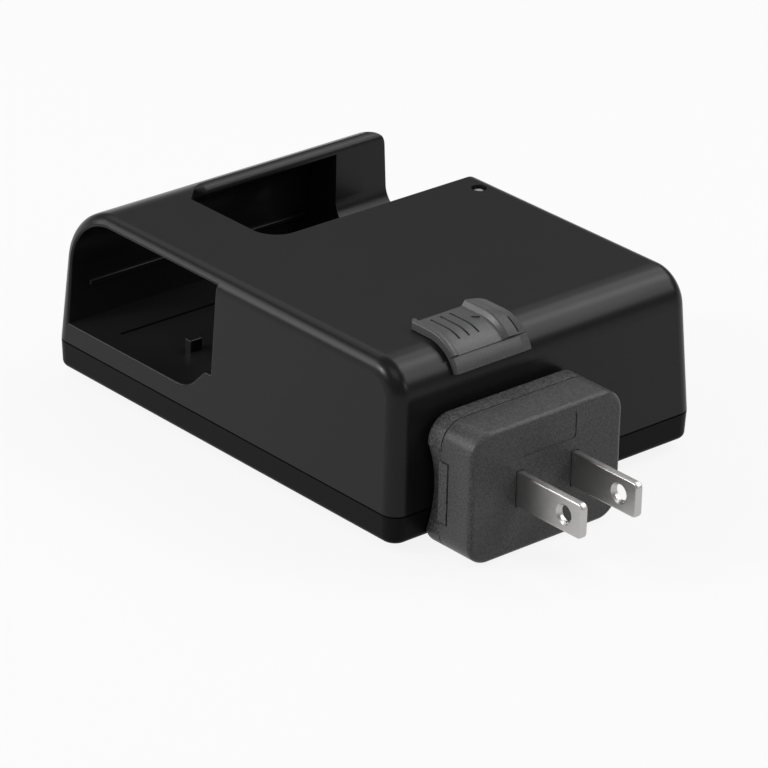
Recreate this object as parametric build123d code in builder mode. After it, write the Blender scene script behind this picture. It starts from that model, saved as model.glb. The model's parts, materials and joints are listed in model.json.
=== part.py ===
# Battery charger with a slide-in battery bay, a sliding latch and a wall plug adapter that turns.
# Millimetres. +Z up, Z = 0 is the surface it stands on, the plug is at -Y and the bay's mouth is at -X.
import os
from math import atan2, cos, pi, radians, sin, sqrt, tan

from build123d import *

os.makedirs("parts", exist_ok=True)

# Battery pack, and the room left around it
pack_length = 56.0
pack_width = 40.0
pack_height = 20.5
pack_clearance = 0.45
pack_headroom = 1.0
pack_stop = 1.5

# Housing: the block in front of the bay, the room past the bay's end, walls, drafts and rounds
block_depth = 50.4
end_room = 13.5
wall = 1.8
far_wall = 3.7
base_wall = 2.2
bay_floor = 11.3
seam_z = 7.4
seam_gap = 0.3
cover_draft = 3.5
base_draft = 2.9
far_round = 11.5
front_round = 7.0
side_round = 3.0
base_round = 1.2

# Standing panel under the base
stand_height = 2.0
stand_inset_x = 10.5
stand_inset_y = 14.5
stand_corner = 5.0
stand_draft = 30.0

# Tongue of the base inside the cover
tongue_thickness = 1.0
tongue_rise = 1.3
tongue_clearance = 0.2
tongue_corner = 1.6

# Mouth of the bay, with a lip that curves up to a short step beside the block
mouth_lip = 2.2
mouth_step = 1.7
mouth_step_rise = 4.7
mouth_run = 6.3
mouth_step_round = 1.0
mouth_dip_round = 7.0
mouth_soft = 0.4

# Guides in the bay: a groove in the floor, a rib on the far wall and a key block
guide_inset = 5.0
guide_stop = 1.5
groove_inset = 9.6
groove_width = 0.7
groove_depth = 0.6
rib_rise = 7.0
rib_reach = 0.6
rib_tall = 1.1
rib_soft = 0.3
key_inset = 11.3
key_setback = 18.1
key_length = 2.7
key_width = 1.9
key_rise = 2.3
key_soft = 0.25

# Thumb notch through the roof, with a scoop at the pack's inner end
notch_reach = 37.5
notch_near_inset = 6.9
notch_far_inset = 7.6
notch_corner = 5.0
notch_cut = 3.4
notch_soft = 0.25
notch_far_soft = 1.6
notch_fade = 3.0
scoop_rise = 7.4
scoop_round = 4.5

# Hollows beside the bay's end
lamp_hall_drop = 2.8
far_hall_drop = 9.0
far_hall_inset = 1.5

# Charge lamp and its light guide
lamp_inset_x = 6.2
lamp_setback = 1.6
lamp_radius = 1.35
lamp_clearance = 0.12
lamp_sink = 0.45
lamp_dome = 0.9
lamp_rim = 0.25
lamp_height = 3.6
lamp_gap = 0.4
collar_reach = 1.0
collar_thickness = 1.1
collar_clearance = 0.1

# Housing screws
screw_inset_x = 6.5
screw_inset_y = 7.5
screw_radius = 1.15
screw_length = 6.2
screw_head_radius = 2.3
screw_head_height = 1.5
cross_length = 2.6
cross_width = 0.6
cross_depth = 0.7
pilot_clearance = 0.06
pilot_depth = 5.1
shank_clearance = 0.25
head_clearance = 0.3
head_recess = 2.0
head_bed = 0.2
boss_radius = 3.0
seat_margin = 0.6
seat_rise = 1.6
seat_gap = 0.1
front_boss_drop = 3.0
boss_rib = 2.0
boss_rib_reach = 4.0
boss_bite = 0.2
far_boss_rise = 0.7

# Circuit board
board_z = 6.1
board_thickness = 1.6
board_inset_x = 4.0
board_inset_front = 4.1
board_inset_back = 3.5
board_clearance = 0.8
lamp_arm_near = 3.9
lamp_arm_far = 2.5
post_radius = 2.5
post_inset_x = 11.5
post_inset_front = 13.4
post_inset_back = 5.4

# Parts on the circuit board, placed from the board's middle or by an inset from its front edge
core_spot = (10.0, 3.0)
core_size = (25.0, 12.0, 19.0)
core_bar = 4.0
core_soft = 0.5
winding_length = 18.0
winding_soft = 2.0
winding_clearance = 0.3
bulk_spot = (-21.0, 9.0)
bulk_radius = 6.5
bulk_height = 20.0
can_soft = 0.6
output_spots = ((-9.0, 15.0), (-9.0, 5.0))
output_radius = 4.0
output_height = 13.0
filter_x = 8.5
filter_inset = 6.9
filter_size = (13.0, 6.0, 11.0)
choke_spot = (-25.5, -7.5)
choke_radius = 4.5
choke_waist = 3.4
choke_flange = 1.6
choke_neck = 6.0
fuse_x = 21.0
fuse_inset = 6.9
fuse_radius = 3.6
fuse_height = 7.0
rectifier_spot = (-11.0, -6.5)
rectifier_size = (8.0, 6.4, 2.6)
optocoupler_spot = (-1.0, -8.0)
optocoupler_size = (4.6, 6.4, 3.4)
chip_soft = 0.4

# Heat sink, a plate with a turned end, and the switch fixed to it
sink_inset = 2.1
sink_setback = 4.0
sink_thickness = 1.6
sink_length = 20.0
sink_height = 18.0
sink_turn = 4.0
switch_setback = 2.0
switch_size = (4.4, 10.0, 9.2)
switch_stand = 3.0
switch_tab = (1.3, 10.0, 5.0)
leg_pitch = 2.54
leg_size = (0.5, 0.9)

# Wall plug adapter, centred on the inlet's axis
adapter_width = 34.8
adapter_height = 24.6
adapter_lift = 0.6
adapter_corner = 4.5
adapter_gap = 0.3
adapter_rear_depth = 3.8
adapter_front_depth = 7.8
adapter_wall = 2.0
adapter_face_wall = 2.5
adapter_round = 1.0
rear_round = 0.5
parting_gap = 0.22
scallop_depth = 1.7
scallop_chord = 17.0
scallop_drop = 1.0
lip_thickness = 1.1
lip_reach = 1.2
lip_clearance = 0.1
tab_drop = 0.3
tab_tall = 11.3
tab_deep = 1.7
tab_thick = 2.4
tab_proud = 0.15
tab_gap = 0.25
label_wide = 12.9
label_tall = 5.2
label_corner = 0.9
label_depth = 0.14
label_shift = 0.05
label_rise = 8.3

# Inlet and its pins
axis_x = -11.3
pin_spacing = 8.6
pin_radius = 1.175
pin_clearance = 0.08
pin_tip = 0.6
pin_tail = 2.0
inlet_wide = 13.6
inlet_tall = 7.0
inlet_wall = 1.1
inlet_depth = 8.2
inlet_floor = 2.0
inlet_clearance = 0.1
inlet_block_wide = 19.0
inlet_block_tall = 9.8
inlet_block_set = 2.5
inlet_margin = 2.0

# Adapter core, which plugs into the inlet, and its contact arcs
plug_clearance = 0.2
plug_stop = 0.3
bearing_radius = 8.2
bearing_clearance = 0.1
flange_radius = 9.4
flange_clearance = 0.25
flange_thickness = 1.8
turn_clearance = 0.1
sleeve_radius = 1.7
sleeve_clearance = 0.05
sleeve_setback = 1.0
arc_inner = 4.9
arc_outer = 7.7
arc_thickness = 0.6
arc_overrun = 20.0
wipe_gap = 0.05
turn_angle = 90.0

# Blades, the two-pole flat kind
blade_spacing = 12.7
blade_width = 6.6
blade_thickness = 1.5
blade_reach = 16.3
blade_corner = 1.1
blade_soft = 0.4
blade_hole_radius = 1.55
blade_hole_bevel = 0.4
blade_hole_inset = 4.4
blade_slot_clearance = 0.1
shoulder_width = 9.0
shoulder_thickness = 1.0
tail_width = 2.4

# Battery contacts, held in a block behind the bay's end wall
contact_count = 4
contact_pitch = 3.4
contact_inset = 3.2
contact_rise = 3.4
contact_length = 11.0
contact_shift = 1.0
contact_tall = 3.2
contact_thickness = 0.6
contact_tip = 1.0
contact_clearance = 0.15
block_thickness = 4.0
block_tall = 4.4
block_margin = 1.5
block_gap = 0.1

# Latch cap: heights above the roof, widths, and the angles round the front edge where the dish and cap end
latch_offset = 10.0
latch_width = 17.5
latch_depth = 13.3
latch_gap = 0.15
latch_lip = 1.7
latch_dish = 0.95
latch_ridge = 2.0
latch_flange = 1.5
latch_edge = 0.8
latch_strip = 1.2
latch_lip_width = 1.2
latch_lip_run = 0.5
latch_ridge_inset = 4.8
latch_ridge_run = 0.8
latch_flange_width = 2.2
latch_soft = 0.4
latch_corner = 1.0
latch_turn = 46.5
latch_reach = 68.5
latch_travel = 4.0
slide_clearance = 0.2

# Grip grooves, pointer, flange slot and strip line on the latch cap
grip_count = 3
grip_inset = 4.0
grip_pitch = 2.2
grip_width = 0.45
grip_depth = 0.4
grip_back = 4.1
grip_turn = 26.0
pointer_inset = 10.3
pointer_length = 1.5
pointer_width = 2.2
pointer_depth = 0.25
slot_inset = 2.15
slot_width = 0.4
slot_depth = 0.45
slot_start = 21.0
slot_turn = 23.0
line_turn = 2.5
line_depth = 0.3

# Latch stem, keeper, arm and nose
stem_inset = 5.5
stem_length = 5.0
stem_setback = 2.2
stem_thickness = 2.2
stem_bite = 0.3
keeper_width = 4.8
keeper_thickness = 1.8
arm_thickness = 1.6
nose_drop = 13.0
nose_width = 2.4
nose_tall = 2.6
nose_inset = 0.2

# Latch spring and the stop that it presses on
spring_length = 9.0
spring_radius = 1.3
spring_wire = 0.22
spring_turns = 6
spring_drop = 6.1
spring_setback = 1.6
spring_seat = 0.05
stop_thickness = 1.6
stop_width = 5.0
stop_depth = 8.0

# Values that follow from the ones above
width = pack_length + pack_stop + end_room
length = block_depth + pack_width + 2 * pack_clearance + far_wall
height = bay_floor + pack_height + pack_headroom + wall
half_x = width / 2
half_y = length / 2
slope = tan(radians(cover_draft))
lean = (height - seam_z) * slope
cover_bottom = seam_z + seam_gap / 2
base_top = seam_z - seam_gap / 2
floor_top = stand_height + wall
bay_far = half_y - far_wall
bay_near = -half_y + block_depth
bay_ceiling = height - wall
bay_end = half_x - end_room
bay_arch = far_round - wall
notch_left = bay_end - notch_reach
notch_near = bay_near + notch_near_inset
notch_far = bay_far - notch_far_inset
scoop_floor = bay_floor + scoop_rise
lamp_x = half_x - lamp_inset_x
lamp_y = bay_near + lamp_setback
lamp_ceiling = height - lamp_hall_drop
screw_x = half_x - screw_inset_x
screw_y = half_y - screw_inset_y
boss_spots = [(x, y) for x in (-screw_x, screw_x) for y in (-screw_y, screw_y)]
boss_foot = floor_top + seat_rise + seat_gap
head_seat = stand_height + head_recess
board_top = board_z + board_thickness
board_half_x = half_x - board_inset_x
board_front = -half_y + board_inset_front
board_back = bay_near - board_inset_back
board_mid = (board_front + board_back) / 2
far_round_z = height - far_round
far_round_y = half_y - (far_round_z - seam_z) * slope - far_round / cos(radians(cover_draft))
round_z = height - front_round
round_y = -half_y + (round_z - seam_z) * slope + front_round / cos(radians(cover_draft))
axis_z = adapter_lift + adapter_height / 2
front_at_axis = -half_y + (axis_z - seam_z) * slope
inlet_back = front_at_axis + inlet_depth
adapter_rear_y = -half_y - adapter_gap
adapter_part_y = adapter_rear_y - adapter_rear_depth
adapter_front_y = adapter_part_y - adapter_front_depth
face_inner = adapter_front_y + adapter_face_wall
blade_tip = adapter_front_y - blade_reach
plug_end = inlet_back - plug_stop
sleeve_end = plug_end - sleeve_setback
arc_back = adapter_part_y - turn_clearance - flange_thickness
arc_face = arc_back - arc_thickness
contact_z = bay_floor + contact_rise
contact_x = bay_end + contact_shift
contact_spots = [bay_far - contact_inset - contact_pitch * n for n in range(contact_count)]
latch_left = axis_x - latch_offset
latch_right = latch_left + latch_width
latch_back = -half_y + latch_depth
ridge_x = latch_right - latch_ridge_inset
stem_left = latch_left + stem_inset
stem_mid = stem_left + stem_length / 2
stem_y = latch_back - stem_setback
keeper_top = bay_ceiling - slide_clearance
arm_front = stem_y - keeper_width / 2
nose_z = height - nose_drop
front_at_nose = -half_y + (nose_z - seam_z) * slope
spring_start = stem_left + stem_length + spring_seat
spring_end = spring_start + spring_length
spring_y = stem_y - spring_setback
spring_z = bay_ceiling - spring_drop

# Stands a shape on the plane that it is placed on
upright = (Align.CENTER, Align.CENTER, Align.MIN)


def plane_y(y):
    """A sketch plane across Y, with its normal towards the front and its origin on the adapter's axis."""
    return Plane((axis_x, y, axis_z), x_dir=(1, 0, 0), z_dir=(0, -1, 0))


def plane_z(z):
    """A level sketch plane."""
    return Plane((0, 0, z))


def round_plane(turn):
    """A sketch plane across the cover's front round, with X along the edge and Y out of it."""
    across = radians(turn)
    return Plane(
        (0, round_y - front_round * sin(across), round_z + front_round * cos(across)),
        x_dir=(1, 0, 0),
        z_dir=(0, -cos(across), -sin(across)),
    )


def on_board(spot, rise=0.0):
    """A point above the circuit board, from the board's middle."""
    return (spot[0], board_mid + spot[1], board_top + rise)


# Hollow of the cover's main block, with its front edge rounded to keep the wall even
with BuildPart() as hollow:
    with BuildSketch(plane_z(cover_bottom)):
        with Locations((0, (bay_near - half_y) / 2)):
            Rectangle(width - 2 * wall, block_depth - 2 * wall)
    extrude(amount=bay_ceiling - cover_bottom, taper=cover_draft)
    lid_edges = hollow.edges().filter_by(Axis.X).group_by(Axis.Z)[-1].sort_by(Axis.Y)
    fillet(lid_edges[0], front_round - wall)

# Upper cover
with BuildPart() as cover:
    with BuildSketch(plane_z(cover_bottom)):
        Rectangle(width, length)
    extrude(amount=height - cover_bottom, taper=cover_draft)
    top_edges = cover.edges().filter_by(Axis.X).group_by(Axis.Z)[-1].sort_by(Axis.Y)
    fillet(top_edges[-1], far_round)
    top_edges = cover.edges().filter_by(Axis.X).group_by(Axis.Z)[-1].sort_by(Axis.Y)
    fillet(top_edges[0], front_round)
    for end in (0, -1):
        side = cover.faces().sort_by(Axis.X)[end]
        fillet([edge for edge in side.edges() if edge.center().Z > seam_z + wall / 2], side_round)

    # Hollows of the main block and under the bay floor, then the hollows beside the bay's end:
    # behind the lamp, under the scoop and in the far corner
    add(hollow.part, mode=Mode.SUBTRACT)
    with BuildSketch(plane_z(cover_bottom)):
        Rectangle(width - 2 * wall, length - 2 * wall)
    extrude(amount=bay_floor - wall - cover_bottom, taper=cover_draft, mode=Mode.SUBTRACT)
    hall_left = bay_end + wall
    hall_right = half_x - wall - lean
    hall_near = bay_near - 2 * wall - lean
    hall_far = half_y - 2 * wall
    for y0, y1, top in (
        (hall_near, notch_near - wall, lamp_ceiling),
        (hall_near, hall_far, scoop_floor - wall),
        (notch_far + wall, hall_far - far_hall_inset, height - far_hall_drop),
    ):
        with Locations(((hall_left + hall_right) / 2, (y0 + y1) / 2, cover_bottom)):
            Box(hall_right - hall_left, y1 - y0, top - cover_bottom, align=upright, mode=Mode.SUBTRACT)

    # Battery bay, open at -X behind the lip
    with BuildSketch(Plane.YZ.offset(-half_x + mouth_lip)) as bay_profile:
        with BuildLine():
            Polyline(
                (bay_near, bay_floor),
                (bay_far, bay_floor),
                (bay_far, bay_ceiling),
                (bay_near, bay_ceiling),
                close=True,
            )
        make_face()
        fillet(bay_profile.vertices().group_by(Axis.X)[-1].sort_by(Axis.Y)[-1], bay_arch)
    extrude(amount=bay_end + half_x - mouth_lip, mode=Mode.SUBTRACT)
    with BuildSketch(Plane.YZ.offset(-half_x - wall)) as mouth_profile:
        with BuildLine():
            Polyline(
                (bay_near, bay_floor + mouth_step_rise),
                (bay_near + mouth_step, bay_floor + mouth_step_rise),
                (bay_near + mouth_run, bay_floor),
                (bay_far, bay_floor),
                (bay_far, bay_ceiling),
                (bay_near, bay_ceiling),
                close=True,
            )
        make_face()
        fillet(mouth_profile.vertices().group_by(Axis.X)[-1].sort_by(Axis.Y)[-1], bay_arch)
        fillet(mouth_profile.vertices().group_by(Axis.Y)[0].sort_by(Axis.X)[0], mouth_dip_round)
        fillet(mouth_profile.vertices().sort_by(Axis.X)[2], mouth_step_round)
    extrude(amount=mouth_lip + wall + 0.01, mode=Mode.SUBTRACT)

    # Guides in the bay
    guide_length = bay_end - guide_stop + half_x - guide_inset
    guide_mid = (bay_end - guide_stop - half_x + guide_inset) / 2
    with Locations((guide_mid, bay_far - groove_inset, bay_floor)):
        Box(guide_length, groove_width, 2 * groove_depth, mode=Mode.SUBTRACT)
    with Locations((guide_mid, bay_far, bay_floor + rib_rise)):
        Box(guide_length, 2 * rib_reach, rib_tall)
    rib_face = cover.faces(Select.LAST).filter_by(Axis.Y).sort_by(Axis.Y)[0]
    fillet(rib_face.edges(), rib_soft)
    with Locations((-half_x + key_inset, bay_near + key_setback, bay_floor)):
        Box(key_length, key_width, 2 * key_rise)
    key_top = cover.faces(Select.LAST).filter_by(Axis.Z).sort_by(Axis.Z)[-1]
    key_walls = cover.edges(Select.LAST).filter_by(Axis.Z).filter_by_position(Axis.Z, bay_floor, height)
    fillet(key_top.edges() + key_walls, key_soft)

    # Thumb notch through the roof and its scoop
    past_side = half_x + wall
    past_roof = height + wall
    with BuildSketch(plane_z(scoop_floor + scoop_round)) as notch_plan:
        with BuildLine():
            Polyline(
                (notch_left, notch_near),
                (past_side, notch_near),
                (past_side, notch_far),
                (notch_left + notch_cut, notch_far),
                (notch_left, notch_far - notch_cut),
                close=True,
            )
        make_face()
        fillet(notch_plan.vertices().group_by(Axis.X)[0].sort_by(Axis.Y)[0], notch_corner)
    extrude(amount=past_roof - scoop_floor - scoop_round, mode=Mode.SUBTRACT)
    with BuildSketch(Plane.YZ.offset(bay_end - 0.01)) as scoop_profile:
        with BuildLine():
            Polyline(
                (notch_near, scoop_floor),
                (notch_far, scoop_floor),
                (notch_far, past_roof),
                (notch_near, past_roof),
                close=True,
            )
        make_face()
        fillet(scoop_profile.vertices().group_by(Axis.Y)[0], scoop_round)
    extrude(amount=past_side - bay_end, mode=Mode.SUBTRACT)

    # Soft rim of the notch, and a broad round on its far side that fades out at the left
    rim = []
    for edge in cover.edges():
        low, high = edge.bounding_box().min, edge.bounding_box().max
        inside = low.Y > notch_near - 0.01 and high.Y < notch_far + 0.01 and low.X > notch_left - 0.01
        on_side = low.X > half_x - lean - side_round and high.Z > scoop_floor - 0.01
        if inside and (low.Z > height - 0.1 or on_side):
            rim.append(edge)
    fillet(rim, notch_soft)
    fade_end = notch_left + notch_cut
    for x, soft in (
        (fade_end, notch_soft),
        (fade_end + notch_fade, notch_far_soft),
        (past_side, notch_far_soft),
    ):
        mid_y = notch_far + soft
        mid_z = far_round_z + sqrt((far_round - soft) ** 2 - (mid_y - far_round_y) ** 2)
        lean_in = atan2(mid_z - far_round_z, mid_y - far_round_y)
        halfway = (lean_in + pi) / 2
        rim_top = (far_round_y + far_round * cos(lean_in), far_round_z + far_round * sin(lean_in))
        with BuildSketch(Plane.YZ.offset(x)):
            with BuildLine():
                ThreePointArc(
                    rim_top,
                    (mid_y + soft * cos(halfway), mid_z + soft * sin(halfway)),
                    (notch_far, mid_z),
                )
                Polyline(
                    (notch_far, mid_z),
                    (notch_far - soft, mid_z),
                    (notch_far - soft, past_roof),
                    (rim_top[0], past_roof),
                    rim_top,
                )
            make_face()
    loft(ruled=True, mode=Mode.SUBTRACT)

    # Soft rim of the mouth
    rim = []
    for edge in cover.edges():
        low, high = edge.bounding_box().min, edge.bounding_box().max
        inside = low.Y > bay_near - 0.01 and high.Y < bay_far + 0.01
        if inside and high.X < -half_x + mouth_lip - 0.2 and low.Z > bay_floor - 0.01:
            rim.append(edge)
    fillet(rim, mouth_soft)

    # Bore for the lamp's light guide, with a bevelled rim
    bore_radius = lamp_radius + lamp_clearance
    with Locations((lamp_x, lamp_y, height)):
        Cylinder(bore_radius, 4 * wall, mode=Mode.SUBTRACT)
        Cone(bore_radius - lamp_rim, bore_radius + lamp_rim, 2 * lamp_rim, mode=Mode.SUBTRACT)

    # Seats for the inlet, the latch stem and the latch nose
    with BuildSketch(plane_y(front_at_axis + 2 * wall)):
        SlotOverall(
            inlet_wide + 2 * (inlet_wall + inlet_clearance),
            inlet_tall + 2 * (inlet_wall + inlet_clearance),
        )
    extrude(amount=4 * wall, mode=Mode.SUBTRACT)
    slot_length = stem_length + latch_travel + 2 * slide_clearance
    with Locations((stem_left - slide_clearance + slot_length / 2, stem_y, height)):
        Box(slot_length, stem_thickness + 2 * slide_clearance, 4 * wall, mode=Mode.SUBTRACT)
    nose_slot = nose_width + latch_travel + 2 * slide_clearance
    with Locations((stem_mid + latch_travel / 2, front_at_nose, nose_z)):
        Box(nose_slot, 3 * wall, nose_tall + 2 * slide_clearance, mode=Mode.SUBTRACT)

    # Slots for the battery contacts
    with Locations(*[(contact_x, y, contact_z) for y in contact_spots]):
        Box(
            contact_length + 2 * contact_clearance,
            contact_thickness + 2 * contact_clearance,
            contact_tall + 2 * contact_clearance,
            mode=Mode.SUBTRACT,
        )

    # Screw bosses: the front pair and the far right one are ribbed to the side wall,
    # and the far left one meets the bay
    for x, y in boss_spots:
        side = 1 if x > 0 else -1
        low_rib = bay_floor - wall + boss_bite
        if y < 0:
            boss_top = bay_ceiling - front_boss_drop
        elif x > 0:
            boss_top = bay_floor + far_boss_rise
        else:
            boss_top = low_rib
        with Locations((x, y, boss_foot)):
            Cylinder(boss_radius, boss_top - boss_foot, align=upright)
        if boss_top > low_rib:
            with Locations((x + side * boss_rib_reach / 2, y, low_rib)):
                Box(boss_rib_reach, boss_rib, boss_top - low_rib, align=upright)
        with Locations((x, y, boss_foot)):
            Cylinder(screw_radius + pilot_clearance, pilot_depth, align=upright, mode=Mode.SUBTRACT)

    # Stop for the latch spring, under the roof
    with Locations((spring_end + spring_seat + stop_thickness / 2, spring_y, bay_ceiling - stop_depth)):
        Box(stop_thickness, stop_width, stop_depth + boss_bite, align=upright)
cover.part.label = "cover"
export_step(cover.part, "parts/cover.step")

# Base with a standing panel, a tongue inside the seam, screw seats and board posts
with BuildPart() as base:
    with BuildSketch(Plane((0, 0, base_top), x_dir=(1, 0, 0), z_dir=(0, 0, -1))):
        RectangleRounded(width, length, side_round)
    extrude(amount=base_top - stand_height, taper=base_draft)
    fillet(base.faces().sort_by(Axis.Z)[0].edges(), base_round)
    with BuildSketch(plane_z(floor_top)):
        RectangleRounded(width - 2 * base_wall, length - 2 * base_wall, side_round)
    extrude(amount=base_top, mode=Mode.SUBTRACT)
    with BuildSketch(plane_z(floor_top)):
        tongue_x = width - 2 * (wall + tongue_clearance)
        tongue_y = length - 2 * (wall + tongue_clearance)
        RectangleRounded(tongue_x, tongue_y, tongue_corner)
        RectangleRounded(
            tongue_x - 2 * tongue_thickness,
            tongue_y - 2 * tongue_thickness,
            tongue_corner / 2,
            mode=Mode.SUBTRACT,
        )
    extrude(amount=base_top + tongue_rise - floor_top)
    with Locations((axis_x, -half_y, base_top)):
        Box(
            inlet_block_wide + 2 * inlet_margin,
            4 * (wall + tongue_thickness),
            2 * tongue_rise,
            align=upright,
            mode=Mode.SUBTRACT,
        )
    with BuildSketch(Plane((0, 0, stand_height), x_dir=(1, 0, 0), z_dir=(0, 0, -1))):
        RectangleRounded(width - 2 * stand_inset_x, length - 2 * stand_inset_y, stand_corner)
    extrude(amount=stand_height, taper=stand_draft)
    for x, y in boss_spots:
        with Locations((x, y, floor_top)):
            Cylinder(boss_radius + seat_margin, seat_rise, align=upright)
        with Locations((x, y, 0)):
            Cylinder(screw_radius + shank_clearance, boss_foot, align=upright, mode=Mode.SUBTRACT)
            Cylinder(screw_head_radius + head_clearance, head_seat, align=upright, mode=Mode.SUBTRACT)
    posts_x = (-half_x + post_inset_x, half_x - post_inset_x)
    posts_y = (board_front + post_inset_front, board_back - post_inset_back)
    with Locations(*[(x, y, floor_top) for x in posts_x for y in posts_y]):
        Cylinder(post_radius, board_z - floor_top, align=upright)
base.part.label = "base"
export_step(base.part, "parts/base.step")

# Housing screws, driven up into the cover's bosses
with BuildPart() as base_screws:
    with Locations(*[(x, y, head_seat - screw_head_height) for x, y in boss_spots]):
        Cylinder(screw_head_radius, screw_head_height, align=upright)
    with Locations(*[(x, y, head_seat - head_bed) for x, y in boss_spots]):
        Cylinder(screw_radius, screw_length, align=upright)
    with Locations(*[(x, y, head_seat - screw_head_height) for x, y in boss_spots]):
        Box(cross_length, cross_width, 2 * cross_depth, mode=Mode.SUBTRACT)
        Box(cross_width, cross_length, 2 * cross_depth, mode=Mode.SUBTRACT)
base_screws.part.label = "base_screws"
export_step(base_screws.part, "parts/base_screws.step")

# Circuit board, with an arm that reaches under the lamp
with BuildPart() as circuit_board:
    with BuildSketch(plane_z(board_z)):
        with BuildLine():
            Polyline(
                (-board_half_x, board_front),
                (board_half_x, board_front),
                (board_half_x, lamp_y + lamp_arm_far),
                (lamp_x - lamp_arm_near, lamp_y + lamp_arm_far),
                (lamp_x - lamp_arm_near, board_back),
                (-board_half_x, board_back),
                close=True,
            )
        make_face()
        cut_x = board_half_x - screw_x + boss_radius + board_clearance
        cut_y = -screw_y - board_front + boss_radius + board_clearance
        for side in (-1, 1):
            with Locations((side * (board_half_x - cut_x / 2), board_front + cut_y / 2)):
                Rectangle(cut_x, cut_y, mode=Mode.SUBTRACT)
    extrude(amount=board_thickness)
circuit_board.part.label = "circuit_board"
export_step(circuit_board.part, "parts/circuit_board.step")

# Transformer
with BuildPart() as transformer_core:
    with Locations(on_board(core_spot)):
        Box(*core_size, align=upright)
    with Locations(on_board(core_spot, core_bar)):
        Box(
            core_size[0] - 2 * core_bar,
            2 * core_size[1],
            core_size[2] - 2 * core_bar,
            align=upright,
            mode=Mode.SUBTRACT,
        )
    fillet(transformer_core.edges().filter_by(Axis.Y), core_soft)
transformer_core.part.label = "transformer_core"
export_step(transformer_core.part, "parts/transformer_core.step")

with BuildPart() as transformer_winding:
    with Locations(on_board(core_spot, core_size[2] / 2)):
        Box(
            core_size[0] - 2 * core_bar - 2 * winding_clearance,
            winding_length,
            core_size[2] - 2 * core_bar - 2 * winding_clearance,
        )
    fillet(transformer_winding.edges().filter_by(Axis.Y), winding_soft)
transformer_winding.part.label = "transformer_winding"
export_step(transformer_winding.part, "parts/transformer_winding.step")

# Capacitors
with BuildPart() as bulk_capacitor:
    with Locations(on_board(bulk_spot)):
        Cylinder(bulk_radius, bulk_height, align=upright)
    fillet(bulk_capacitor.edges().group_by(Axis.Z)[-1], can_soft)
bulk_capacitor.part.label = "bulk_capacitor"
export_step(bulk_capacitor.part, "parts/bulk_capacitor.step")

with BuildPart() as output_capacitors:
    with Locations(*[on_board(spot) for spot in output_spots]):
        Cylinder(output_radius, output_height, align=upright)
    fillet(output_capacitors.edges().group_by(Axis.Z)[-1], can_soft)
output_capacitors.part.label = "output_capacitors"
export_step(output_capacitors.part, "parts/output_capacitors.step")

with BuildPart() as filter_capacitor:
    with Locations((filter_x, board_front + filter_inset, board_top)):
        Box(*filter_size, align=upright)
    fillet(filter_capacitor.edges().filter_by(Axis.Z), can_soft)
filter_capacitor.part.label = "filter_capacitor"
export_step(filter_capacitor.part, "parts/filter_capacitor.step")

# Line choke, a drum on the board
with BuildPart() as line_choke:
    with Locations(on_board(choke_spot), on_board(choke_spot, choke_flange + choke_neck)):
        Cylinder(choke_radius, choke_flange, align=upright)
    with Locations(on_board(choke_spot, choke_flange)):
        Cylinder(choke_waist, choke_neck, align=upright)
line_choke.part.label = "line_choke"
export_step(line_choke.part, "parts/line_choke.step")

# Fuse, rectifier and optocoupler
with BuildPart() as fuse:
    with Locations((fuse_x, board_front + fuse_inset, board_top)):
        Cylinder(fuse_radius, fuse_height, align=upright)
    fillet(fuse.edges().group_by(Axis.Z)[-1], can_soft)
fuse.part.label = "fuse"
export_step(fuse.part, "parts/fuse.step")

with BuildPart() as rectifier:
    with Locations(on_board(rectifier_spot)):
        Box(*rectifier_size, align=upright)
    chamfer(rectifier.edges().group_by(Axis.Z)[-1], chip_soft)
rectifier.part.label = "rectifier"
export_step(rectifier.part, "parts/rectifier.step")

with BuildPart() as optocoupler:
    with Locations(on_board(optocoupler_spot)):
        Box(*optocoupler_size, align=upright)
    chamfer(optocoupler.edges().group_by(Axis.Z)[-1], chip_soft)
optocoupler.part.label = "optocoupler"
export_step(optocoupler.part, "parts/optocoupler.step")

# Heat sink and the switch fixed to it
sink_x = board_half_x - sink_inset
sink_face = sink_x - sink_thickness / 2
with BuildPart() as heat_sink:
    with Locations(on_board((sink_x, sink_setback))):
        Box(sink_thickness, sink_length, sink_height, align=upright)
    turn_y = sink_setback + (sink_length - sink_thickness) / 2
    with Locations(on_board((sink_x - sink_turn / 2, turn_y))):
        Box(sink_turn, sink_thickness, sink_height, align=upright)
heat_sink.part.label = "heat_sink"
export_step(heat_sink.part, "parts/heat_sink.step")

with BuildPart() as switch_transistor:
    with Locations(on_board((sink_face - switch_size[0] / 2, switch_setback), switch_stand)):
        Box(*switch_size, align=upright)
    tab_rise = switch_stand + switch_size[2]
    with Locations(on_board((sink_face - switch_tab[0] / 2, switch_setback), tab_rise)):
        Box(*switch_tab, align=upright)
    leg_x = sink_face - switch_size[0] / 2
    with Locations(*[on_board((leg_x, switch_setback + leg_pitch * n)) for n in (-1, 0, 1)]):
        Box(*leg_size, switch_stand + leg_size[0], align=upright)
switch_transistor.part.label = "switch_transistor"
export_step(switch_transistor.part, "parts/switch_transistor.step")

# Charge lamp on the board and the clear guide that carries its light to the roof
guide_foot = board_top + lamp_height + lamp_gap
with BuildPart() as charge_lamp:
    with Locations((lamp_x, lamp_y, board_top)):
        Cylinder(lamp_radius, lamp_height - lamp_radius, align=upright)
    with Locations((lamp_x, lamp_y, board_top + lamp_height - lamp_radius)):
        Sphere(lamp_radius, arc_size1=0, align=upright)
charge_lamp.part.label = "charge_lamp"
export_step(charge_lamp.part, "parts/charge_lamp.step")

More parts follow.
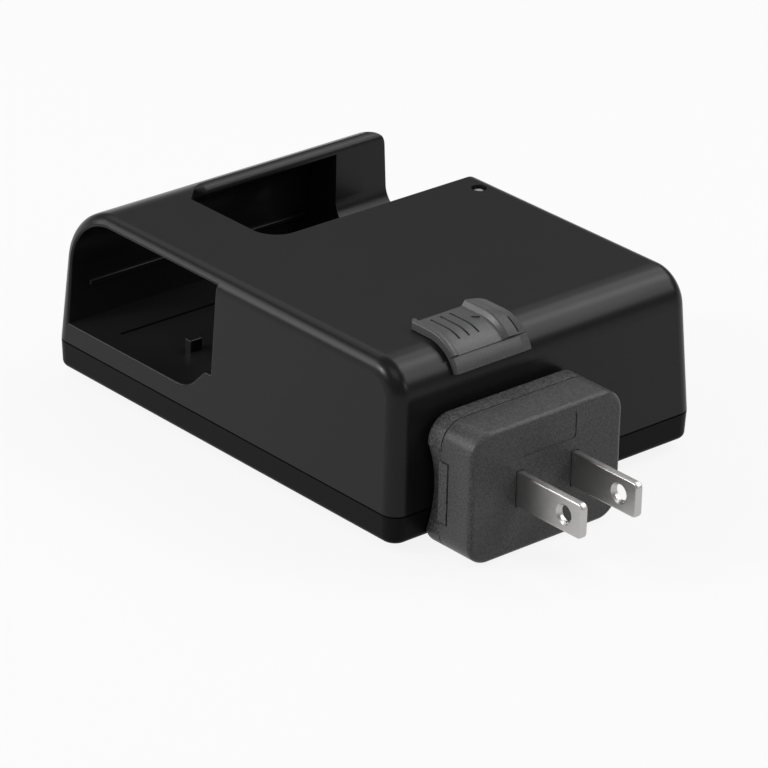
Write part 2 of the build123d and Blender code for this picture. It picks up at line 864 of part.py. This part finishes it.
with BuildPart() as lamp_guide:
    with Locations((lamp_x, lamp_y, guide_foot)):
        Cylinder(lamp_radius, height - lamp_sink - guide_foot, align=upright)
    with Locations((lamp_x, lamp_y, lamp_ceiling - collar_clearance - collar_thickness)):
        Cylinder(lamp_radius + collar_reach, collar_thickness, align=upright)
    fillet(lamp_guide.edges().group_by(Axis.Z)[-1], lamp_dome)
lamp_guide.part.label = "lamp_guide"
export_step(lamp_guide.part, "parts/lamp_guide.step")

# Inlet with its two pins
block_front = front_at_axis + inlet_block_set
inlet_end = inlet_back + inlet_floor
pin_spots = [(-pin_spacing / 2, 0), (pin_spacing / 2, 0)]
with BuildPart() as ac_inlet:
    with BuildSketch(plane_y(inlet_end)):
        SlotOverall(inlet_wide + 2 * inlet_wall, inlet_tall + 2 * inlet_wall)
    extrude(amount=inlet_end - front_at_axis - inlet_clearance)
    with BuildSketch(plane_y(inlet_end)):
        Rectangle(inlet_block_wide, inlet_block_tall)
    extrude(amount=inlet_end - block_front)
    with BuildSketch(plane_y(inlet_back)):
        SlotOverall(inlet_wide, inlet_tall)
    extrude(amount=inlet_depth + wall, mode=Mode.SUBTRACT)
    with BuildSketch(plane_y(inlet_end)):
        with Locations(*pin_spots):
            Circle(pin_radius)
    extrude(amount=inlet_floor, mode=Mode.SUBTRACT)
ac_inlet.part.label = "ac_inlet"
export_step(ac_inlet.part, "parts/ac_inlet.step")

with BuildPart() as inlet_pins:
    with BuildSketch(plane_y(inlet_end + pin_tail)):
        with Locations(*pin_spots):
            Circle(pin_radius)
    extrude(amount=pin_tail + inlet_floor + inlet_depth - inlet_wall)
    fillet(inlet_pins.edges().group_by(Axis.Y)[0], pin_tip)
inlet_pins.part.label = "inlet_pins"
export_step(inlet_pins.part, "parts/inlet_pins.step")

# Battery contacts in a block behind the bay's end wall
with BuildPart() as battery_contacts:
    with Locations(*[(contact_x, y, contact_z) for y in contact_spots]):
        Box(contact_length, contact_thickness, contact_tall)
    fillet(battery_contacts.edges().filter_by(Axis.Y).group_by(Axis.X)[0], contact_tip)
battery_contacts.part.label = "battery_contacts"
export_step(battery_contacts.part, "parts/battery_contacts.step")

with BuildPart() as contact_block:
    with Locations((bay_end + wall + block_gap, (contact_spots[0] + contact_spots[-1]) / 2, contact_z)):
        Box(
            block_thickness,
            contact_spots[0] - contact_spots[-1] + 2 * block_margin,
            block_tall,
            align=(Align.MIN, Align.CENTER, Align.CENTER),
        )
    with Locations(*[(contact_x, y, contact_z) for y in contact_spots]):
        Box(contact_length, contact_thickness, contact_tall, mode=Mode.SUBTRACT)
contact_block.part.label = "contact_block"
export_step(contact_block.part, "parts/contact_block.step")

# Latch: a cap bent over the cover's front edge, with a dish for the thumb between a lip and a ridge
round_axis = Axis((0, round_y, round_z), (1, 0, 0))
above_cap = 2 * latch_ridge
with BuildPart() as latch:
    with BuildSketch(round_plane(0)) as cap_profile:
        with BuildLine():
            Polyline(
                (latch_left, latch_gap),
                (latch_left, latch_lip),
                (latch_left + latch_lip_width, latch_lip),
                (latch_left + latch_lip_width + latch_lip_run, latch_dish),
                (ridge_x - latch_ridge_run, latch_dish),
                (ridge_x, latch_ridge),
                (latch_right - latch_flange_width, latch_flange),
                (latch_right, latch_edge),
                (latch_right, latch_gap),
                close=True,
            )
        make_face()
        fillet(cap_profile.vertices().filter_by_position(Axis.Y, 2 * latch_gap, above_cap), latch_soft)
    extrude(amount=round_y - latch_back)
    with BuildSketch(plane_z(height)) as cap_plan:
        with Locations((latch_left, round_y)):
            Rectangle(latch_width, latch_back - round_y, align=Align.MIN)
        fillet(cap_plan.vertices().group_by(Axis.Y)[-1], latch_corner)
    extrude(amount=above_cap, mode=Mode.INTERSECT)
    revolve(cap_profile.sketch, axis=round_axis, revolution_arc=latch_turn)
    with BuildSketch(round_plane(latch_turn)) as strip_profile:
        with BuildLine():
            Polyline(
                (latch_left, latch_gap),
                (latch_left, latch_strip),
                (latch_right - latch_flange_width, latch_strip),
                (latch_right, latch_edge),
                (latch_right, latch_gap),
                close=True,
            )
        make_face()
        fillet(strip_profile.vertices().filter_by_position(Axis.Y, 2 * latch_gap, above_cap), latch_soft)
    revolve(axis=round_axis, revolution_arc=latch_reach - latch_turn)

    # Line between the dish and the strip, grip grooves, flange slot and pointer
    with BuildSketch(round_plane(latch_turn)):
        with Locations((latch_left + latch_width / 2, latch_dish - line_depth)):
            Rectangle(2 * latch_width, above_cap, align=(Align.CENTER, Align.MIN))
    revolve(axis=round_axis, revolution_arc=line_turn, mode=Mode.SUBTRACT)
    grip_xs = [latch_left + grip_inset + grip_pitch * n for n in range(grip_count)]
    with BuildSketch(round_plane(0)) as grip_profile:
        with Locations(*[(x, latch_dish - grip_depth) for x in grip_xs]):
            Rectangle(grip_width, above_cap, align=(Align.CENTER, Align.MIN))
    extrude(amount=-grip_back, mode=Mode.SUBTRACT)
    revolve(grip_profile.sketch, axis=round_axis, revolution_arc=grip_turn, mode=Mode.SUBTRACT)
    with BuildSketch(round_plane(slot_start)):
        with Locations((latch_right - slot_inset, latch_flange - slot_depth)):
            Rectangle(slot_width, above_cap, align=(Align.CENTER, Align.MIN))
    revolve(axis=round_axis, revolution_arc=slot_turn, mode=Mode.SUBTRACT)
    pointer_x = latch_left + pointer_inset
    with BuildSketch(plane_z(height + latch_dish - pointer_depth)):
        with BuildLine():
            Polyline(
                (pointer_x, round_y - pointer_width / 2),
                (pointer_x + pointer_length, round_y),
                (pointer_x, round_y + pointer_width / 2),
                close=True,
            )
        make_face()
    extrude(amount=above_cap, mode=Mode.SUBTRACT)

    # Stem through the roof, keeper under it, and an arm with a nose behind the front wall
    stem_top = height + latch_gap + stem_bite
    with Locations((stem_mid, stem_y, keeper_top)):
        Box(stem_length, stem_thickness, stem_top - keeper_top, align=upright)
    with Locations((stem_mid, stem_y, keeper_top - keeper_thickness)):
        Box(stem_length, keeper_width, keeper_thickness, align=upright)
    arm_foot = nose_z - nose_tall / 2
    with Locations((stem_mid, arm_front + arm_thickness / 2, arm_foot)):
        Box(stem_length, arm_thickness, keeper_top - keeper_thickness / 2 - arm_foot, align=upright)
    nose_tip = front_at_nose + nose_inset
    with Locations((stem_mid, (nose_tip + arm_front + arm_thickness / 2) / 2, nose_z)):
        Box(nose_width, arm_front + arm_thickness / 2 - nose_tip, nose_tall)
latch.part.label = "latch"
export_step(latch.part, "parts/latch.step")

# Latch spring, pressed between the latch arm and the cover's stop
coil_length = spring_length - 2 * spring_wire
with BuildPart() as latch_spring:
    with BuildLine() as coil:
        Helix(
            pitch=coil_length / spring_turns,
            height=coil_length,
            radius=spring_radius,
            center=(spring_start + spring_wire, spring_y, spring_z),
            direction=(1, 0, 0),
        )
    with BuildSketch(Plane(coil.line @ 0, z_dir=coil.line % 0)):
        Circle(spring_wire)
    sweep()
latch_spring.part.label = "latch_spring"
export_step(latch_spring.part, "parts/latch_spring.step")

# Adapter, front half: a cup with blade slots, a label recess and notches for the rear half's side tongues
with BuildPart() as adapter_front:
    with BuildSketch(plane_y(adapter_part_y)):
        RectangleRounded(adapter_width, adapter_height, adapter_corner)
    extrude(amount=adapter_front_depth)
    fillet(adapter_front.faces().sort_by(Axis.Y)[0].edges(), adapter_round)
    with BuildSketch(plane_y(adapter_part_y)):
        RectangleRounded(
            adapter_width - 2 * adapter_wall,
            adapter_height - 2 * adapter_wall,
            adapter_corner - adapter_wall,
        )
    extrude(amount=adapter_part_y - face_inner, mode=Mode.SUBTRACT)
    with BuildSketch(plane_y(face_inner)):
        with Locations((-blade_spacing / 2, 0), (blade_spacing / 2, 0)):
            Rectangle(
                blade_thickness + 2 * blade_slot_clearance,
                blade_width + 2 * blade_slot_clearance,
            )
    extrude(amount=adapter_face_wall, mode=Mode.SUBTRACT)
    with BuildSketch(plane_y(adapter_front_y + label_depth)):
        with Locations((label_shift, label_rise)):
            RectangleRounded(label_wide, label_tall, label_corner)
    extrude(amount=label_depth, mode=Mode.SUBTRACT)
    with BuildSketch(plane_y(adapter_part_y)):
        for side in (-1, 1):
            with Locations((side * adapter_width / 2, -tab_drop)):
                Rectangle(2 * tab_thick + 2 * tab_gap, tab_tall + 2 * tab_gap)
    extrude(amount=tab_deep + tab_gap, mode=Mode.SUBTRACT)
adapter_front.part.label = "adapter_front"
export_step(adapter_front.part, "parts/adapter_front.step")

# Adapter, rear half: scalloped sides, a bearing for the core, an inner lip and two side tongues
scallop_radius = (scallop_chord ** 2 / 4 + scallop_depth ** 2) / (2 * scallop_depth)
rear_front_y = adapter_part_y + parting_gap
with BuildPart() as adapter_rear:
    with BuildSketch(plane_y(adapter_rear_y)):
        RectangleRounded(adapter_width, adapter_height, adapter_corner)
        for side in (-1, 1):
            scallop_x = side * (adapter_width / 2 - scallop_depth + scallop_radius)
            with Locations((scallop_x, -scallop_drop)):
                Circle(scallop_radius, mode=Mode.SUBTRACT)
    extrude(amount=adapter_rear_y - rear_front_y)
    fillet(adapter_rear.faces().sort_by(Axis.Y)[-1].edges(), rear_round)
    with BuildSketch(plane_y(rear_front_y + lip_clearance)):
        lip_x = adapter_width - 2 * (adapter_wall + lip_clearance)
        lip_z = adapter_height - 2 * (adapter_wall + lip_clearance)
        lip_corner = adapter_corner - adapter_wall
        RectangleRounded(lip_x, lip_z, lip_corner)
        RectangleRounded(
            lip_x - 2 * lip_thickness,
            lip_z - 2 * lip_thickness,
            lip_corner / 2,
            mode=Mode.SUBTRACT,
        )
    extrude(amount=lip_clearance + parting_gap + lip_reach)
    with BuildSketch(plane_y(rear_front_y)):
        Circle(flange_radius + flange_clearance)
    extrude(amount=2 * lip_reach, mode=Mode.SUBTRACT)
    with BuildSketch(plane_y(rear_front_y + lip_clearance)):
        for side in (-1, 1):
            with Locations((side * (adapter_width / 2 + tab_proud - tab_thick / 2), -tab_drop)):
                Rectangle(tab_thick, tab_tall)
    extrude(amount=lip_clearance + parting_gap + tab_deep)
    with BuildSketch(plane_y(adapter_rear_y + wall)):
        Circle(bearing_radius + bearing_clearance)
    extrude(amount=2 * adapter_rear_depth + wall, mode=Mode.SUBTRACT)
adapter_rear.part.label = "adapter_rear"
export_step(adapter_rear.part, "parts/adapter_rear.step")

# Adapter core: a plug that fills the inlet, a bearing disc and a flange behind the rear half
disc_back = adapter_rear_y + turn_clearance
flange_back = adapter_part_y - turn_clearance
with BuildPart() as adapter_core:
    with BuildSketch(plane_y(plug_end)):
        SlotOverall(inlet_wide - 2 * plug_clearance, inlet_tall - 2 * plug_clearance)
    extrude(amount=plug_end - adapter_rear_y)
    with BuildSketch(plane_y(disc_back)):
        Circle(bearing_radius)
    extrude(amount=disc_back - flange_back)
    with BuildSketch(plane_y(flange_back)):
        Circle(flange_radius)
    extrude(amount=flange_thickness)
    with BuildSketch(plane_y(plug_end)):
        with Locations(*pin_spots):
            Circle(sleeve_radius + sleeve_clearance)
    extrude(amount=plug_end - arc_back, mode=Mode.SUBTRACT)
adapter_core.part.label = "adapter_core"
export_step(adapter_core.part, "parts/adapter_core.step")

# Two contact arcs: a sleeve for an inlet pin, and a track that a blade's tail wipes as the adapter turns
with BuildPart() as contact_arcs:
    for start, side in ((-arc_overrun, 1), (180 - arc_overrun, -1)):
        first = radians(start)
        middle = radians(start + turn_angle / 2 + arc_overrun)
        last = radians(start + turn_angle + 2 * arc_overrun)
        with BuildSketch(plane_y(arc_back)):
            with BuildLine():
                ThreePointArc(
                    (arc_outer * cos(first), arc_outer * sin(first)),
                    (arc_outer * cos(middle), arc_outer * sin(middle)),
                    (arc_outer * cos(last), arc_outer * sin(last)),
                )
                Line(
                    (arc_outer * cos(last), arc_outer * sin(last)),
                    (arc_inner * cos(last), arc_inner * sin(last)),
                )
                ThreePointArc(
                    (arc_inner * cos(last), arc_inner * sin(last)),
                    (arc_inner * cos(middle), arc_inner * sin(middle)),
                    (arc_inner * cos(first), arc_inner * sin(first)),
                )
                Line(
                    (arc_inner * cos(first), arc_inner * sin(first)),
                    (arc_outer * cos(first), arc_outer * sin(first)),
                )
            make_face()
        extrude(amount=arc_thickness)
        with BuildSketch(plane_y(sleeve_end)):
            with Locations((side * pin_spacing / 2, 0)):
                Circle(sleeve_radius)
        extrude(amount=sleeve_end - arc_face)
    with BuildSketch(plane_y(sleeve_end)):
        with Locations(*pin_spots):
            Circle(pin_radius + pin_clearance)
    extrude(amount=sleeve_end - arc_back, mode=Mode.SUBTRACT)
contact_arcs.part.label = "contact_arcs"
export_step(contact_arcs.part, "parts/contact_arcs.step")

# Plug blades: a holed tip, a shoulder behind the adapter's face and a narrow tail on the contact track
shoulder_front = face_inner + blade_slot_clearance
shoulder_back = shoulder_front + shoulder_thickness
tail_end = arc_face - wipe_gap
with BuildPart() as plug_blades:
    for side in (-1, 1):
        blade_plane = Plane(
            (axis_x + side * blade_spacing / 2 - blade_thickness / 2, 0, axis_z),
            x_dir=(0, 1, 0),
            z_dir=(1, 0, 0),
        )
        with BuildSketch(blade_plane) as blade_outline:
            with Locations(((blade_tip + shoulder_back) / 2, 0)):
                Rectangle(shoulder_back - blade_tip, blade_width)
            fillet(blade_outline.vertices().group_by(Axis.X)[0], blade_corner)
            with Locations((blade_tip + blade_hole_inset, 0)):
                Circle(blade_hole_radius, mode=Mode.SUBTRACT)
        extrude(amount=blade_thickness)
    blade_sides = plug_blades.faces().filter_by(Axis.X)
    fillet([edge for side in blade_sides for edge in side.outer_wire().edges()], blade_soft)
    blade_sides = plug_blades.faces().filter_by(Axis.X)
    chamfer([edge for side in blade_sides for edge in side.inner_wires()[0].edges()], blade_hole_bevel)
    for side in (-1, 1):
        blade_x = axis_x + side * blade_spacing / 2
        with Locations((blade_x, (shoulder_front + shoulder_back) / 2, axis_z)):
            Box(blade_thickness, shoulder_thickness, shoulder_width)
        with Locations((blade_x, (shoulder_front + tail_end) / 2, axis_z)):
            Box(blade_thickness, tail_end - shoulder_front, tail_width)
plug_blades.part.label = "plug_blades"
export_step(plug_blades.part, "parts/plug_blades.step")
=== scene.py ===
import json
from math import cos, radians, sin

import bpy
from mathutils import Matrix, Vector


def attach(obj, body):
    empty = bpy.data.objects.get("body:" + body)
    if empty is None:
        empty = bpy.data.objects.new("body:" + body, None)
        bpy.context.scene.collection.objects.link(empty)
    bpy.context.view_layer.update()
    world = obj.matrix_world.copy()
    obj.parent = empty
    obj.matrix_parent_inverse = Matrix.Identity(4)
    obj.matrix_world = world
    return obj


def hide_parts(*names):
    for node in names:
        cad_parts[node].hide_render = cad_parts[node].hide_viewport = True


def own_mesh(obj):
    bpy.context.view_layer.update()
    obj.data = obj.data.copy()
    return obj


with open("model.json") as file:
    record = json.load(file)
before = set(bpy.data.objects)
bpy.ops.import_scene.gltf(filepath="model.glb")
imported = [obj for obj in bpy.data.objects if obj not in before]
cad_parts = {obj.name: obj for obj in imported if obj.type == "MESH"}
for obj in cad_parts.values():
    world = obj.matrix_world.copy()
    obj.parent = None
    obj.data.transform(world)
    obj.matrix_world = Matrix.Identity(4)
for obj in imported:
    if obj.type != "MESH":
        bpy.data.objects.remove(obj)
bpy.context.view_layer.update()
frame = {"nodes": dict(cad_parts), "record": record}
nodes = frame["nodes"]
record = frame["record"]
MM = 0.001
MICRON = 0.000001
WHITE = (1.0, 1.0, 1.0, 1.0)
FULL_STRENGTH = 1.0


def place(name, data):
    """A new object in the scene that holds this data."""
    thing = bpy.data.objects.new(name, data)
    bpy.context.scene.collection.objects.link(thing)
    return thing


def direction(azimuth, elevation):
    """The way out from the object, by azimuth from -Y towards +X and elevation, in degrees."""
    az, el = radians(azimuth), radians(elevation)
    return Vector((sin(az) * cos(el), -cos(az) * cos(el), sin(el)))


# Camera: where it looks from, in degrees and millimetres, and how near and far it sees, in metres
CAMERA_AZIMUTH = -41.34
CAMERA_ELEVATION = 25.39
CAMERA_ROLL = 1.42
CAMERA_DISTANCE = 858.64
CAMERA_TARGET_Z = 18.3
CAMERA_SLIDE = (2.24, -11.92)
FOCAL_PIXELS = 4766.0
PICTURE_PIXELS = 768
SENSOR = 36.0
NEAREST_SEEN = 0.01
FARTHEST_SEEN = 20.0


def make_camera():
    """Places the camera at the photograph's angle."""
    az, roll = radians(CAMERA_AZIMUTH), radians(CAMERA_ROLL)
    back = direction(CAMERA_AZIMUTH, CAMERA_ELEVATION)
    level = Vector((cos(az), sin(az), 0.0))
    rise = back.cross(level)
    right = cos(roll) * level + sin(roll) * rise
    up = -sin(roll) * level + cos(roll) * rise
    target = Vector((0.0, 0.0, CAMERA_TARGET_Z)) + CAMERA_SLIDE[0] * right + CAMERA_SLIDE[1] * up
    camera = place("camera", bpy.data.cameras.new("camera"))
    turn = Matrix((right, up, back)).transposed().to_4x4()
    camera.matrix_world = Matrix.Translation((target + back * CAMERA_DISTANCE) * MM) @ turn
    camera.data.sensor_width = SENSOR
    camera.data.lens = FOCAL_PIXELS / PICTURE_PIXELS * SENSOR
    camera.data.clip_start = NEAREST_SEEN
    camera.data.clip_end = FARTHEST_SEEN
    bpy.context.scene.camera = camera


# Noise: the part of its range that is used, its fineness, and the slight darkening of metal and lens
NOISE_LOW = 0.35
NOISE_HIGH = 0.65
NOISE_ROUGHNESS = 0.5
GRAIN_DETAIL = 2.0
CLOUD_DETAIL = 3.0
CLOUDS_PER_METRE = 120.0
DARKENED = 0.9
EVEN = (1.0, 1.0, 1.0)


def new_material(name):
    """A node material, with its tree and its main shader."""
    material = bpy.data.materials.new(name)
    material.use_nodes = True
    tree = material.node_tree
    return material, tree, tree.nodes["Principled BSDF"]


def noise(tree, scale, detail, stretch=EVEN):
    """Noise in the object's own coordinates, at so many grains per metre along each axis."""
    coordinates = tree.nodes.new("ShaderNodeTexCoord")
    spread = tree.nodes.new("ShaderNodeMapping")
    spread.inputs["Scale"].default_value = stretch
    node = tree.nodes.new("ShaderNodeTexNoise")
    node.inputs["Scale"].default_value = scale
    node.inputs["Detail"].default_value = detail
    node.inputs["Roughness"].default_value = NOISE_ROUGHNESS
    tree.links.new(coordinates.outputs["Object"], spread.inputs["Vector"])
    tree.links.new(spread.outputs["Vector"], node.inputs["Vector"])
    return node


def ramp(tree, source, low, high):
    """Turns noise into a range between two values."""
    node = tree.nodes.new("ShaderNodeMapRange")
    node.inputs["From Min"].default_value = NOISE_LOW
    node.inputs["From Max"].default_value = NOISE_HIGH
    node.inputs["To Min"].default_value = low
    node.inputs["To Max"].default_value = high
    tree.links.new(source.outputs["Fac"], node.inputs["Value"])
    return node


def colour_by(tree, source, dark, light, shader):
    """Lets noise mix two colours into the shader's colour."""
    node = tree.nodes.new("ShaderNodeMix")
    node.data_type = "RGBA"
    node.inputs["A"].default_value = (*dark, 1.0)
    node.inputs["B"].default_value = (*light, 1.0)
    tree.links.new(ramp(tree, source, 0.0, 1.0).outputs["Result"], node.inputs["Factor"])
    tree.links.new(node.outputs["Result"], shader.inputs["Base Color"])


def roughen_by(tree, source, rough, shader):
    """Lets noise vary the shader's roughness within a range."""
    tree.links.new(ramp(tree, source, *rough).outputs["Result"], shader.inputs["Roughness"])


def bump_by(tree, source, depth, shader):
    """Lets noise raise the surface by a depth in microns."""
    node = tree.nodes.new("ShaderNodeBump")
    node.inputs["Strength"].default_value = FULL_STRENGTH
    node.inputs["Distance"].default_value = depth * MICRON
    tree.links.new(source.outputs["Fac"], node.inputs["Height"])
    tree.links.new(node.outputs["Normal"], shader.inputs["Normal"])


def plastic(name, dark, light, rough, grain, depth, specular=0.5):
    """Moulded plastic with a fine spark-eroded grain and slight clouding."""
    material, tree, shader = new_material(name)
    specks = noise(tree, grain, GRAIN_DETAIL)
    colour_by(tree, specks, dark, light, shader)
    roughen_by(tree, noise(tree, CLOUDS_PER_METRE, CLOUD_DETAIL), rough, shader)
    shader.inputs["Specular IOR Level"].default_value = specular
    bump_by(tree, specks, depth, shader)
    return material


def metal(name, colour, rough, streak, depth, stretch=EVEN):
    """Plated or drawn metal with fine streaks."""
    material, tree, shader = new_material(name)
    streaks = noise(tree, streak, CLOUD_DETAIL, stretch)
    colour_by(tree, streaks, [DARKENED * c for c in colour], colour, shader)
    roughen_by(tree, streaks, rough, shader)
    shader.inputs["Metallic"].default_value = 1.0
    bump_by(tree, streaks, depth, shader)
    return material


def milky(name, colour, rough, cloud, depth):
    """A cloudy grey light guide."""
    material, tree, shader = new_material(name)
    clouds = noise(tree, cloud, GRAIN_DETAIL)
    colour_by(tree, clouds, [DARKENED * c for c in colour], colour, shader)
    roughen_by(tree, clouds, rough, shader)
    bump_by(tree, clouds, depth, shader)
    return material


# Plastics: two colours of the grain, range of roughness, grains per metre, depth in microns
PLASTICS = {
    "housing_black": dict(
        dark=(0.006, 0.006, 0.0064), light=(0.009, 0.009, 0.0094), rough=(0.275, 0.29),
        grain=4600.0, depth=1.5, specular=0.17,
    ),
    # A darker, less glossy copy of housing_black: painted shade for the floor's shadow that the base
    # shows in reflection
    "housing_black_painted_shade": dict(
        dark=(0.005, 0.005, 0.0053), light=(0.0075, 0.0075, 0.0078), rough=(0.34, 0.38),
        grain=4600.0, depth=1.5, specular=0.04,
    ),
    "latch_grey": dict(
        dark=(0.042, 0.042, 0.044), light=(0.062, 0.062, 0.064), rough=(0.34, 0.4),
        grain=3600.0, depth=10.0, specular=0.3,
    ),
    "adapter_grey": dict(
        dark=(0.034, 0.034, 0.035), light=(0.066, 0.066, 0.067), rough=(0.33, 0.39),
        grain=3000.0, depth=18.0, specular=0.17,
    ),
    "adapter_grey_coarse": dict(
        dark=(0.03, 0.03, 0.031), light=(0.085, 0.085, 0.086), rough=(0.42, 0.5),
        grain=2600.0, depth=30.0, specular=0.2,
    ),
    "board_green": dict(
        dark=(0.02, 0.1, 0.04), light=(0.03, 0.14, 0.06), rough=(0.3, 0.4),
        grain=1500.0, depth=4.0,
    ),
    "ferrite": dict(
        dark=(0.03, 0.03, 0.033), light=(0.06, 0.06, 0.064), rough=(0.55, 0.7),
        grain=4000.0, depth=10.0,
    ),
    "tape_yellow": dict(
        dark=(0.6, 0.45, 0.08), light=(0.72, 0.56, 0.12), rough=(0.35, 0.45),
        grain=1200.0, depth=6.0,
    ),
    "film_yellow": dict(
        dark=(0.55, 0.4, 0.08), light=(0.66, 0.5, 0.11), rough=(0.2, 0.3),
        grain=1200.0, depth=4.0,
    ),
    "sleeve_black": dict(
        dark=(0.02, 0.02, 0.03), light=(0.03, 0.03, 0.045), rough=(0.2, 0.3),
        grain=1500.0, depth=4.0,
    ),
    "component_black": dict(
        dark=(0.018, 0.018, 0.018), light=(0.03, 0.03, 0.03), rough=(0.4, 0.5),
        grain=4000.0, depth=6.0,
    ),
}

# Metals: colour, range of roughness, streaks per metre, depth in microns, and the blades' long streaks
ALONG_BLADE = (1.0, 0.06, 1.0)
METALS = {
    "blade_nickel": dict(
        colour=(0.5, 0.495, 0.485), rough=(0.34, 0.42), streak=9000.0, depth=0.6, stretch=ALONG_BLADE
    ),
    "screw_steel": dict(colour=(0.36, 0.36, 0.37), rough=(0.3, 0.42), streak=4000.0, depth=4.0),
    "spring_steel": dict(colour=(0.5, 0.5, 0.52), rough=(0.25, 0.35), streak=4000.0, depth=2.0),
    "contact_brass": dict(colour=(0.72, 0.55, 0.26), rough=(0.25, 0.35), streak=4000.0, depth=2.0),
    "contact_nickel": dict(colour=(0.7, 0.68, 0.63), rough=(0.2, 0.3), streak=4000.0, depth=2.0),
    "sink_aluminium": dict(colour=(0.7, 0.7, 0.72), rough=(0.35, 0.45), streak=2500.0, depth=3.0),
}

# Lens of the charge lamp
LENS = dict(colour=(0.26, 0.265, 0.27), rough=(0.12, 0.22), cloud=900.0, depth=4.0)

MATERIALS = {name: plastic(name, **look) for name, look in PLASTICS.items()}
MATERIALS.update({name: metal(name, **look) for name, look in METALS.items()})
MATERIALS["lamp_clear"] = milky("lamp_clear", **LENS)

# The base gets a darker, less glossy copy of the cover's plastic, painted shade for the floor's shadow
# seen in its reflection, and the adapter's rear half has a coarse grain
NODE_MATERIALS = {"base": "housing_black_painted_shade", "adapter_rear": "adapter_grey_coarse"}


def dress_nodes():
    """Gives every CAD node its own material, or that of its slot in the record."""
    for part in record["subparts"]:
        mesh = nodes[part["node"]].data
        mesh.materials.clear()
        mesh.materials.append(MATERIALS[NODE_MATERIALS.get(part["node"], part["material_slot"])])


def make_spring():
    """A copy of the spring's coil in its place, attached to the housing."""
    coil = place("latch_coil", nodes["latch_spring"].data.copy())
    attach(coil, "housing")
    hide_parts("latch_spring")
    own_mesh(coil)


# Stage: a pale floor that looks white, and keeps a faint shadow of the object
FLOOR_SIZE = 30.0
FLOOR_WHITE = 0.88
FLOOR_COLOUR = (0.55, 0.55, 0.55, 1.0)
FLOOR_ROUGHNESS = 0.9


def add(tree, first, second):
    """The sum of two outputs, no more than one."""
    node = tree.nodes.new("ShaderNodeMath")
    node.operation = "ADD"
    node.use_clamp = True
    tree.links.new(first, node.inputs[0])
    tree.links.new(second, node.inputs[1])
    return node.outputs["Value"]


def make_floor():
    """A floor that is white to the camera, in reflections and through glass, and is lightly shaded."""
    half = FLOOR_SIZE / 2
    mesh = bpy.data.meshes.new("floor")
    corners = [(-half, -half, 0), (half, -half, 0), (half, half, 0), (-half, half, 0)]
    mesh.from_pydata(corners, [], [(0, 1, 2, 3)])
    floor = place("floor", mesh)
    material, tree, shader = new_material("floor_pale")
    shader.inputs["Base Color"].default_value = FLOOR_COLOUR
    shader.inputs["Roughness"].default_value = FLOOR_ROUGHNESS
    white = tree.nodes.new("ShaderNodeEmission")
    white.inputs["Strength"].default_value = FULL_STRENGTH
    rays = tree.nodes.new("ShaderNodeLightPath").outputs
    seen = add(tree, add(tree, rays["Is Camera Ray"], rays["Is Glossy Ray"]), rays["Is Transmission Ray"])
    share = tree.nodes.new("ShaderNodeMath")
    share.operation = "MULTIPLY"
    share.inputs[1].default_value = FLOOR_WHITE
    mix = tree.nodes.new("ShaderNodeMixShader")
    tree.links.new(seen, share.inputs[0])
    tree.links.new(share.outputs["Value"], mix.inputs["Fac"])
    tree.links.new(shader.outputs["BSDF"], mix.inputs[1])
    tree.links.new(white.outputs["Emission"], mix.inputs[2])
    tree.links.new(mix.outputs["Shader"], tree.nodes["Material Output"].inputs["Surface"])
    mesh.materials.append(material)


# Sky: pale at the horizon and dim above, by the height of the direction looked in
SKY_PALE = 0.8
SKY_DIM = 0.2
SKY_PALE_BELOW = 0.03
SKY_DIM_ABOVE = 0.14


def make_world():
    """A studio sky that is pale behind the floor and dim overhead."""
    world = bpy.data.worlds.new("studio")
    bpy.context.scene.world = world
    world.use_nodes = True
    tree = world.node_tree
    sky = tree.nodes["Background"]
    sky.inputs["Color"].default_value = WHITE
    coordinates = tree.nodes.new("ShaderNodeTexCoord")
    split = tree.nodes.new("ShaderNodeSeparateXYZ")
    fade = tree.nodes.new("ShaderNodeMapRange")
    fade.inputs["From Min"].default_value = SKY_PALE_BELOW
    fade.inputs["From Max"].default_value = SKY_DIM_ABOVE
    fade.inputs["To Min"].default_value = SKY_PALE
    fade.inputs["To Max"].default_value = SKY_DIM
    tree.links.new(coordinates.outputs["Generated"], split.inputs["Vector"])
    tree.links.new(split.outputs["Z"], fade.inputs["Value"])
    tree.links.new(fade.outputs["Result"], sky.inputs["Strength"])


# Studio lamps: azimuth from -Y towards +X and elevation in degrees, size in metres, power in watts
LAMP_DISTANCE = 0.8
LAMP_AIM = Vector((0.0, -0.01, 0.02))
LAMPS = {
    "left_lamp": (-112.0, 31.0, (0.16, 0.18), 3.1),
    "side_lamp": (-126.0, 24.0, (0.4, 0.34), 0.9),
    "rear_left_lamp": (-145.0, 28.0, (0.5, 0.36), 2.0),
    "rear_lamp": (160.0, 45.0, (0.5, 0.3), 0.5),
    "front_lamp": (16.0, 26.0, (0.16, 0.18), 0.6),
    "low_right_lamp": (44.0, 33.0, (0.26, 0.26), 0.9),
    "mid_right_lamp": (66.0, 48.0, (0.36, 0.34), 1.7),
    "right_lamp": (92.0, 50.0, (0.45, 0.4), 1.4),
    "high_right_lamp": (117.0, 45.0, (0.4, 0.38), 0.4),
    "fill_lamp": (-41.0, 62.0, (0.5, 0.4), 1.1),
}


def make_lamps():
    """Rectangular softboxes around the object, all facing it."""
    for name, (azimuth, elevation, size, power) in LAMPS.items():
        way = direction(azimuth, elevation)
        lamp = bpy.data.lights.new(name, "AREA")
        lamp.shape = "RECTANGLE"
        lamp.size, lamp.size_y = size
        lamp.energy = power
        box = place(name, lamp)
        box.location = LAMP_AIM + way * LAMP_DISTANCE
        box.rotation_mode = "QUATERNION"
        box.rotation_quaternion = way.to_track_quat("Z", "Y")


make_camera()
dress_nodes()
make_spring()
make_floor()
make_world()
make_lamps()
bpy.context.scene.view_settings.view_transform = "Standard"
